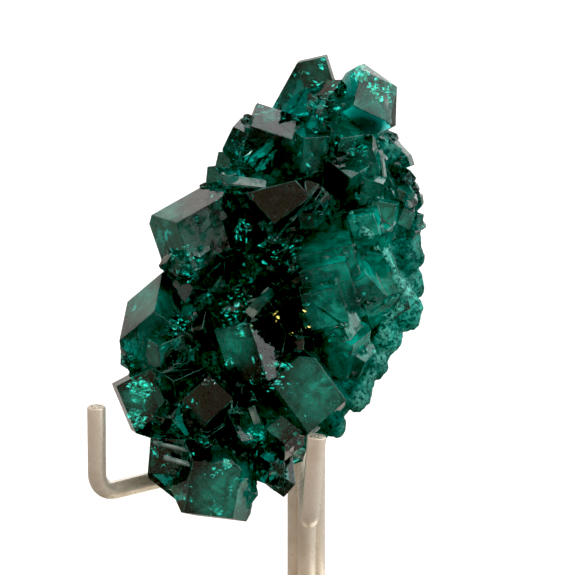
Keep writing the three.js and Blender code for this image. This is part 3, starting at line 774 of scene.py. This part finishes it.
def random_disc(chance, reach):
    """A random place on a disc, as (x, y)."""
    angle, away = 2 * math.pi * chance.random(), reach * math.sqrt(chance.random())
    return away * math.cos(angle), away * math.sin(angle)


def flake_place(chance, centre, direction, radius):
    """A random flake master at a place, facing a direction, narrower one way than the other."""
    size = Matrix.Diagonal((radius, radius * chance.uniform(*FLAKE_NARROWNESS), radius, 1))
    return chance.randrange(len(FLAKE_SIDES)), Matrix.Translation(centre) @ turn_to(direction, chance) @ size


def glints(tree, places, sizes, depths, chance):
    """Flakes at named places of the front, a little below the surface and facing it roughly."""
    placings = []
    for (right, up), reach, number in places:
        for _ in range(number):
            x, y = random_disc(chance, reach)
            front = on_front(tree, right + x, up + y)
            radius = chance.uniform(*sizes) * MM
            direction = (BRIGHT_FACING + GLINT_SPREAD * random_way(chance)).normalized()
            depth = chance.uniform(*depths) * MM
            if front and clear_inside(tree, front[0] - PLANE_OUT * depth, GLINT_ROOM * radius):
                placings.append(flake_place(chance, front[0] - PLANE_OUT * depth, direction, radius))
    return placings


def faces_front(point, normal):
    """Whether a place of the crystals can be seen from the front."""
    return normal.dot(PLANE_OUT) > FRONT_LIMIT


def lone_flakes(crystals, tree, number, chance):
    """Single flakes spread over the inside of the crystals."""
    placings = []
    for point, normal in surface_points(crystals, number, chance, faces_front):
        radius = chance.uniform(*FLAKE_SIZES) * MM
        centre = point - normal * chance.uniform(*FLAKE_DEPTHS) * MM
        if clear_inside(tree, centre, FLAKE_ROOM * radius):
            placings.append(flake_place(chance, centre, (normal + random_way(chance)).normalized(), radius))
    return placings


def veils(crystals, tree, number, sparkles, chance):
    """Thin discs of sparkles inside the crystals."""
    placings = []
    for point, normal in surface_points(crystals, number, chance, faces_front):
        middle = point - normal * chance.uniform(*VEIL_DEPTHS) * MM
        direction = (normal + VEIL_SPREAD * random_way(chance)).normalized()
        veil = Matrix.Translation(middle) @ turn_to(direction, chance)
        reach = chance.uniform(*VEIL_REACHES) * MM
        for _ in range(sparkles):
            x, y = random_disc(chance, reach)
            centre = veil @ Vector((x, y, VEIL_THICKNESS * MM * chance.random()))
            radius = chance.uniform(*SPARKLE_SIZES) * MM
            if clear_inside(tree, centre, radius):
                placings.append(flake_place(chance, centre, random_way(chance), radius))
    return placings


class DIOPTASE_OT_veils(Operator):
    """Scatter flakes and veils of sparkles inside the crystals, where healed cracks catch the light"""

    bl_idname = "dioptase.veils"
    bl_label = "Veils inside the crystals"

    def execute(self, context):
        sizes = context.scene.dioptase_sizes
        colours = context.scene.dioptase_colours
        chance = random.Random(3)
        crystals = bpy.data.objects["crystals"]
        tree = surface_tree(crystals)
        for name, tint, places, (reaches, depths, painted_glow) in (
                ("veils", colours.glint, GLINTS, GLINT_LOOK),
                ("amber_glints", colours.amber_glint, AMBER_GLINTS, AMBER_LOOK),
                ("white_glints", colours.white_glint, WHITE_GLINTS, WHITE_LOOK)):
            placings = glints(tree, places, reaches, depths, chance)
            if name == "veils":
                placings += lone_flakes(crystals, tree, sizes.flake_count, chance)
                placings += veils(crystals, tree, sizes.veil_count, sizes.veil_sparkles, chance)
            obj = scatter([flake(sides) for sides in FLAKE_SIDES], placings, name)
            finish_piece(obj, [glint_material(name.replace("_", " ").capitalize(), tint, painted_glow)], "dioptase")
        return {"FINISHED"}


def notch_points(obj, spacing, chance):
    """Points (point, the two faces' middle direction) along the folds between an object's crystals."""
    shape = bmesh.new()
    shape.from_mesh(obj.data)
    points = []
    for edge in shape.edges:
        if len(edge.link_faces) == 2 and edge.calc_face_angle_signed(0.0) < NOTCH:
            first, second = edge.verts[0].co, edge.verts[1].co
            direction = sum((face.normal for face in edge.link_faces), Vector()).normalized()
            for _ in range(int((second - first).length / spacing + chance.random())):
                points.append((first.lerp(second, chance.random()), direction))
    shape.free()
    return points


def on_upper_rim(point, normal):
    """Whether a point of the rock lies on the upper right of its front, where crystals cover it."""
    right, up, _ = PLANE.inverted() @ point
    return right > RIM_LEFT and up > RIM_LOWEST and normal.dot(PLANE_OUT) > RIM_FACING


def small_crystal_place(point, direction, width, stand, chance):
    """A random small crystal of a width, whose tip stands off a point."""
    tip = point + direction * width * chance.uniform(*stand)
    number = chance.randrange(len(SMALL_CRYSTALS))
    return number, Matrix.Translation(tip) @ turn_to(direction, chance) @ Matrix.Scale(width, 4)


def notch_crystals(crystals, spacing, chance):
    """Small crystals along the notches, but none that would come out on the far side of a thin place."""
    tree = surface_tree(crystals)
    placings = []
    for point, direction in notch_points(crystals, spacing, chance):
        direction = (direction + NOTCH_LEAN * PLANE_OUT + NOTCH_SPREAD * random_way(chance)).normalized()
        width = chance.uniform(*NOTCH_WIDTHS) ** NOTCH_WIDTH_POWER * NOTCH_WIDEST * MM
        placing = small_crystal_place(point, direction, width, NOTCH_STAND, chance)
        root = placing[1].translation - ROOT_DEPTH * width * direction
        if clear_inside(tree, root, ROOT_ROOM * width):
            placings.append(placing)
    return placings


def rim_crystals(number, chance):
    """Small crystals on the rock's upper right."""
    placings = []
    for point, normal in surface_points(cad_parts["matrix"], number, chance, on_upper_rim):
        direction = normal + RIM_CRYSTAL_LEAN * PLANE_OUT + RIM_CRYSTAL_SPREAD * random_way(chance)
        width = chance.uniform(*RIM_CRYSTAL_WIDTHS) * MM
        placings.append(small_crystal_place(point, direction.normalized(), width, RIM_CRYSTAL_STAND, chance))
    return placings


class DIOPTASE_OT_small_crystals(Operator):
    """Grow small crystals in the notches between the large ones, and soften every edge"""

    bl_idname = "dioptase.small_crystals"
    bl_label = "Small crystals"

    def execute(self, context):
        sizes = context.scene.dioptase_sizes
        chance = random.Random(8)
        crystals = bpy.data.objects["crystals"]
        masters = [small_crystal(*model) for model in SMALL_CRYSTALS]
        placings = notch_crystals(crystals, sizes.notch_spacing, chance)
        placings += rim_crystals(sizes.rim_count, chance)
        obj = scatter(masters, placings, "small_crystals")
        apply_modifier(crystals, "BOOLEAN", operation="UNION", object=obj, solver="MANIFOLD")
        bpy.data.objects.remove(obj)
        # The bevelled edges take the second material, which paints a pale highlight on them.
        apply_modifier(crystals, "BEVEL", width=sizes.edge_width, segments=1, limit_method="ANGLE",
                       angle_limit=CRYSTAL_SHARP, use_clamp_overlap=False, miter_outer="MITER_SHARP",
                       material=1)
        return {"FINISHED"}


def splinter_master():
    """A thin plate of unit length and width along X, with slanted ends."""
    bpy.ops.object.select_all(action="DESELECT")
    bpy.ops.mesh.primitive_cube_add(size=1)
    obj = bpy.context.active_object
    obj.name = "splinter"
    bpy.ops.object.mode_set(mode="EDIT")
    for place, normal in SLIVER_CUTS:
        bpy.ops.mesh.select_all(action="SELECT")
        bpy.ops.mesh.bisect(plane_co=place, plane_no=normal, use_fill=True, clear_outer=True)
    bpy.ops.object.mode_set(mode="OBJECT")
    return obj


def splinter_place(first, second, start, end, width):
    """The matrix of a splinter from start to end [right, up], which lie at these two points of the front."""
    if abs((first - second).dot(PLANE_OUT)) < SLIVER_STEP * MM:
        along = second - first
        middle = (first + second) / 2
    else:
        level = max((PLANE.inverted() @ point).z for point in (first, second))
        along = PLANE @ Vector((*end, level)) - PLANE @ Vector((*start, level))
        middle = PLANE @ Vector(((start[0] + end[0]) / 2, (start[1] + end[1]) / 2, level - SLIVER_SUNK))
    ahead = along.normalized()
    facing = PLANE_OUT + SLIVER_TILT * SLIVER_FACING
    facing = (facing - facing.dot(ahead) * ahead).normalized()
    turn = Matrix((ahead, facing.cross(ahead), facing)).transposed().to_4x4()
    size = Matrix.Diagonal((along.length, width * MM, SLIVER_THICKNESS * MM, 1))
    return Matrix.Translation(middle) @ turn @ size


class DIOPTASE_OT_splinters(Operator):
    """Lay pale splinters on the crystals, where the edges of plates catch the light"""

    bl_idname = "dioptase.splinters"
    bl_label = "Splinters"

    def execute(self, context):
        tree = surface_tree(bpy.data.objects["crystals"])
        placings = []
        for start, end, width in SLIVERS:
            hits = [on_front(tree, *place) for place in (start, end)]
            if None not in hits:
                placings.append((0, splinter_place(hits[0][0], hits[1][0], start, end, width)))
        obj = scatter([splinter_master()], placings, "splinters")
        finish_piece(obj, [splinter_material(context.scene.dioptase_colours)], "dioptase")
        return {"FINISHED"}


def add_crust(obj, kind, size, height, level):
    """Raises and sinks a surface by a pattern of this size and height."""
    texture = bpy.data.textures.new(kind.title(), kind)
    texture.noise_scale = size
    apply_modifier(obj, "DISPLACE", texture=texture, texture_coords="LOCAL", strength=height, mid_level=level)


def lump(seed):
    """An uneven round lump of unit radius."""
    bpy.ops.object.select_all(action="DESELECT")
    bpy.ops.mesh.primitive_ico_sphere_add(subdivisions=2, radius=1)
    obj = bpy.context.active_object
    bpy.ops.object.mode_set(mode="EDIT")
    bpy.ops.mesh.select_all(action="SELECT")
    bpy.ops.transform.vertex_random(offset=LUMP_UNEVENNESS, seed=seed)
    bpy.ops.object.mode_set(mode="OBJECT")
    return obj


def rim_lumps(rock, chance):
    """Small lumps along the rim where the crust climbs up the crystals."""
    trees = [surface_tree(rock), surface_tree(bpy.data.objects["crystals"])]
    placings = []
    for start, end in zip(RIM_PATH, RIM_PATH[1:]):
        for _ in range(RIM_LUMPS):
            place = Vector(start).lerp(Vector(end), chance.random())
            place += RIM_REACH * Vector((chance.gauss(0, 1), chance.gauss(0, 1)))
            hits = [hit for hit in (on_front(tree, *place) for tree in trees) if hit]
            if hits:
                front = max(hits, key=lambda hit: hit[0].dot(PLANE_OUT))[0]
                radius = chance.uniform(*RIM_LUMP_SIZES) * MM
                turn = turn_to(random_way(chance), chance)
                middle = Matrix.Translation(front - RIM_LUMP_SUNK * radius * PLANE_OUT)
                placings.append((chance.randrange(2), middle @ turn @ Matrix.Scale(radius, 4)))
    return scatter([lump(1), lump(2)], placings, "rim_lumps")


class DIOPTASE_OT_rock(Operator):
    """Dress the host rock: a granular, lumpy crust that reaches up to the crystals"""

    bl_idname = "dioptase.rock"
    bl_label = "Host rock"

    def execute(self, context):
        sizes = context.scene.dioptase_sizes
        obj = cad_copy("matrix", "host_rock")
        lumps = rim_lumps(obj, random.Random(21))
        select_only(obj)
        lumps.select_set(True)
        bpy.ops.object.join()
        apply_modifier(obj, "REMESH", mode="VOXEL", voxel_size=sizes.rock_mesh)
        apply_modifier(obj, "CORRECTIVE_SMOOTH", iterations=CRUST_SMOOTHING, smooth_type="SIMPLE",
                       use_only_smooth=True)
        for kind, size, height, level in CRUST_LAYERS:
            add_crust(obj, kind, size * MM, height * sizes.rock_grain, level)
        select_only(obj)
        bpy.ops.object.shade_smooth()
        finish_piece(obj, [rock_material(context.scene.dioptase_colours)], "host_rock", "matrix")
        return {"FINISHED"}


def in_plan(degrees, radius, height):
    """A point at a heading and a distance from the stand's axis, in millimetres."""
    angle = math.radians(degrees)
    return Vector((radius * math.cos(angle), radius * math.sin(angle), height))


def rod_routes():
    """The points that each rod runs through, in millimetres."""
    right, left = -90 + ARM_SPREAD, -90 - ARM_SPREAD
    routes = {}
    for name, post, heading, reach, lean in (
            ("right_arm", right, right, RIGHT_ARM_REACH, RIGHT_HOOK_LEAN),
            ("left_arm", right - 120, left, LEFT_ARM_REACH, 0.0)):
        corner = in_plan(post, POST_RADIUS, ARM_HEIGHT)
        hook = corner + in_plan(heading, reach, 0)
        end = hook + in_plan(heading + 90, HOOK_HEIGHT * math.tan(lean), HOOK_HEIGHT)
        routes[name] = [in_plan(post, POST_RADIUS, ROD_FOOT), corner, hook, end]
    corner = in_plan(right + 120, POST_RADIUS, ARM_HEIGHT)
    rest = Vector((0, math.sin(REST_LEAN), math.cos(REST_LEAN))) * REST_LENGTH
    routes["back_rest"] = [in_plan(right + 120, POST_RADIUS, ROD_FOOT), corner, corner + rest]
    return routes


def bent_rod(name, route):
    """A round rod along a route: its end is pushed along each straight run and spun round each bend."""
    route = [point * MM for point in route]
    bpy.ops.object.select_all(action="DESELECT")
    bpy.ops.mesh.primitive_circle_add(vertices=ROD_SIDES, radius=ROD_RADIUS * MM, fill_type="NOTHING",
                                      location=route[0])
    obj = bpy.context.active_object
    obj.name = name
    bpy.ops.object.transform_apply(location=True)
    bpy.ops.object.mode_set(mode="EDIT")
    bpy.ops.mesh.select_all(action="SELECT")
    bpy.ops.mesh.edge_face_add()
    bpy.ops.mesh.select_all(action="DESELECT")
    bpy.ops.mesh.select_mode(type="FACE")
    bpy.ops.mesh.select_all(action="SELECT")
    place = route[0]
    for i in range(1, len(route)):
        inward = (route[i] - route[i - 1]).normalized()
        run_end = route[i]
        if i + 1 < len(route):
            onward = (route[i + 1] - route[i]).normalized()
            swing = inward.angle(onward)
            run_end = route[i] - inward * ROD_BEND * MM * math.tan(swing / 2)
        bpy.ops.mesh.extrude_region_move(TRANSFORM_OT_translate={"value": run_end - place})
        place = run_end
        if i + 1 < len(route):
            axis = inward.cross(onward).normalized()
            hub = run_end + axis.cross(inward) * ROD_BEND * MM
            bpy.ops.mesh.spin(steps=BEND_STEPS, angle=-swing, center=hub, axis=axis)
            place = route[i] + onward * ROD_BEND * MM * math.tan(swing / 2)
    bpy.ops.mesh.select_all(action="SELECT")
    bpy.ops.mesh.remove_doubles(threshold=SAME_POINT)
    bpy.ops.mesh.normals_make_consistent(inside=False)
    bpy.ops.object.mode_set(mode="OBJECT")
    return obj


class DIOPTASE_OT_rods(Operator):
    """Bend the three rods of the stand, with rough cut ends"""

    bl_idname = "dioptase.rods"
    bl_label = "Rods"

    def execute(self, context):
        colours = context.scene.dioptase_colours
        materials = [rod_material(colours), cut_end_material(colours)]
        for name, route in rod_routes().items():
            obj = bent_rod(name, route)
            finish_piece(obj, materials, "rod_metal", name + "_rod")
            apply_modifier(obj, "BEVEL", width=ROD_END_EDGE * MM, segments=2, limit_method="ANGLE",
                           angle_limit=METAL_SHARP)
            for face in obj.data.polygons:
                if len(face.vertices) == ROD_SIDES:
                    face.material_index = 1
            select_only(obj)
            bpy.ops.object.shade_smooth_by_angle(angle=ROD_SMOOTH)
        return {"FINISHED"}


class DIOPTASE_OT_foot(Operator):
    """Turn the round foot with its socket and the bore that the rods stand in"""

    bl_idname = "dioptase.foot"
    bl_label = "Foot"

    def execute(self, context):
        bpy.ops.object.select_all(action="DESELECT")
        bpy.ops.mesh.primitive_cylinder_add(
            vertices=BASE_SIDES, radius=BASE_RADIUS * MM, depth=BASE_THICKNESS * MM,
            location=(0, 0, BASE_THICKNESS * MM / 2))
        obj = context.active_object
        obj.name = "foot"
        bpy.ops.object.transform_apply(location=True)
        top = max(obj.data.polygons, key=lambda face: face.center.z)
        for polygon in obj.data.polygons:
            polygon.select = polygon.index == top.index
        bpy.ops.object.mode_set(mode="EDIT")
        bpy.ops.mesh.select_mode(type="FACE")
        for radius, lower_radius, rise in ((SOCKET_RADIUS, BASE_RADIUS, SOCKET_TOP - BASE_THICKNESS),
                                           (BORE_RADIUS, SOCKET_RADIUS, BORE_FLOOR - SOCKET_TOP)):
            bpy.ops.mesh.inset(thickness=(lower_radius - radius) * MM, use_relative_offset=False)
            bpy.ops.mesh.extrude_region_move(TRANSFORM_OT_translate={"value": (0, 0, rise * MM)})
        bpy.ops.object.mode_set(mode="OBJECT")
        apply_modifier(obj, "BEVEL", width=BASE_EDGE * MM, segments=4, limit_method="ANGLE",
                       angle_limit=METAL_SHARP)
        select_only(obj)
        bpy.ops.object.shade_smooth_by_angle(angle=FOOT_SMOOTH)
        finish_piece(obj, [foot_material(context.scene.dioptase_colours)], "foot_metal", "stand_base")
        return {"FINISHED"}


class DIOPTASE_OT_studio(Operator):
    """Set the white table, the soft lights and the camera"""

    bl_idname = "dioptase.studio"
    bl_label = "Studio"

    def execute(self, context):
        scene = context.scene
        bpy.ops.object.select_all(action="DESELECT")
        bpy.ops.mesh.primitive_plane_add(size=BACKDROP_SIZE)
        table = context.active_object
        table.name = "table"
        table.data.materials.append(table_material(scene.dioptase_colours))

        world = bpy.data.worlds.new("White tent")
        world.use_nodes = True
        scene.world = world
        nodes = Nodes(world.node_tree)
        direction = nodes.add("ShaderNodeTexCoord").outputs["Generated"]
        parts = nodes.add("ShaderNodeSeparateXYZ", {}, direction)
        across, depth, height = (Number(nodes, parts.outputs[i]) for i in range(3))
        tent = (depth + TENT_RISE * height + TENT_LEAN * across).step(*TENT_EDGE)
        sides = (across * across).step(*SIDE_EDGE) * (1 - tent)
        seen = Number(nodes, nodes.add("ShaderNodeLightPath").outputs["Is Camera Ray"])
        white = (tent + SIDE_SHARE * sides).highest(seen)
        tint = nodes.mix(white, scene.dioptase_colours.room, (1, 1, 1))
        strength = (1 + TENT_STRENGTH * tent) * (1 - seen) + BACKDROP_STRENGTH * seen
        light = nodes.add("ShaderNodeBackground", {}, Color=tint, Strength=strength)
        nodes.add("ShaderNodeOutputWorld", {}, Surface=light.outputs[0])

        middle = PLANE @ PICTURE_MIDDLE
        bpy.ops.object.camera_add(location=middle + PLANE_OUT * CAMERA_DISTANCE * MM)
        camera = context.active_object
        camera.rotation_euler = PLANE_OUT.to_track_quat("Z", "Y").to_euler()
        camera.data.sensor_width = SENSOR_WIDTH
        camera.data.lens = SENSOR_WIDTH * CAMERA_DISTANCE / PICTURE_WIDTH
        camera.data.clip_start, camera.data.clip_end = SEEN_DEPTHS
        scene.camera = camera

        scene.view_settings.view_transform = "Standard"
        scene.view_settings.use_curve_mapping = True
        scene.view_settings.curve_mapping.black_level = (BLACK_LEVEL,) * 3
        scene.cycles.use_denoising = True
        scene.cycles.max_bounces = 16
        scene.cycles.transmission_bounces = 14
        scene.cycles.glossy_bounces = 8
        scene.cycles.diffuse_bounces = 3
        scene.cycles.volume_bounces = 0
        return {"FINISHED"}


class DIOPTASE_PT_sidebar(Panel):
    """The specimen's pieces, in the order in which they are made"""

    bl_label = "Dioptase"
    bl_space_type = "VIEW_3D"
    bl_region_type = "UI"
    bl_category = "Dioptase"

    def draw(self, context):
        for piece in OPERATORS:
            self.layout.operator(piece.bl_idname)
        for group in (context.scene.dioptase_sizes, context.scene.dioptase_colours):
            for name in group.bl_rna.properties.keys():
                if name not in {"rna_type", "name"}:
                    self.layout.prop(group, name)


OPERATORS = (
    DIOPTASE_OT_crystals, DIOPTASE_OT_small_crystals, DIOPTASE_OT_veils, DIOPTASE_OT_splinters,
    DIOPTASE_OT_rock, DIOPTASE_OT_rods, DIOPTASE_OT_foot, DIOPTASE_OT_studio,
)
CLASSES = (DioptaseColours, DioptaseSizes, *OPERATORS, DIOPTASE_PT_sidebar)


def register():
    for item in CLASSES:
        bpy.utils.register_class(item)
    bpy.types.Scene.dioptase_colours = PointerProperty(type=DioptaseColours)
    bpy.types.Scene.dioptase_sizes = PointerProperty(type=DioptaseSizes)


def unregister():
    del bpy.types.Scene.dioptase_sizes
    del bpy.types.Scene.dioptase_colours
    for item in reversed(CLASSES):
        bpy.utils.unregister_class(item)


def main():
    """Makes every piece and the studio."""
    register()
    bpy.ops.dioptase.crystals()
    bpy.ops.dioptase.small_crystals()
    bpy.ops.dioptase.veils()
    bpy.ops.dioptase.splinters()
    bpy.ops.dioptase.rock()
    bpy.ops.dioptase.rods()
    bpy.ops.dioptase.foot()
    bpy.ops.dioptase.studio()


if __name__ == "__main__":
    main()
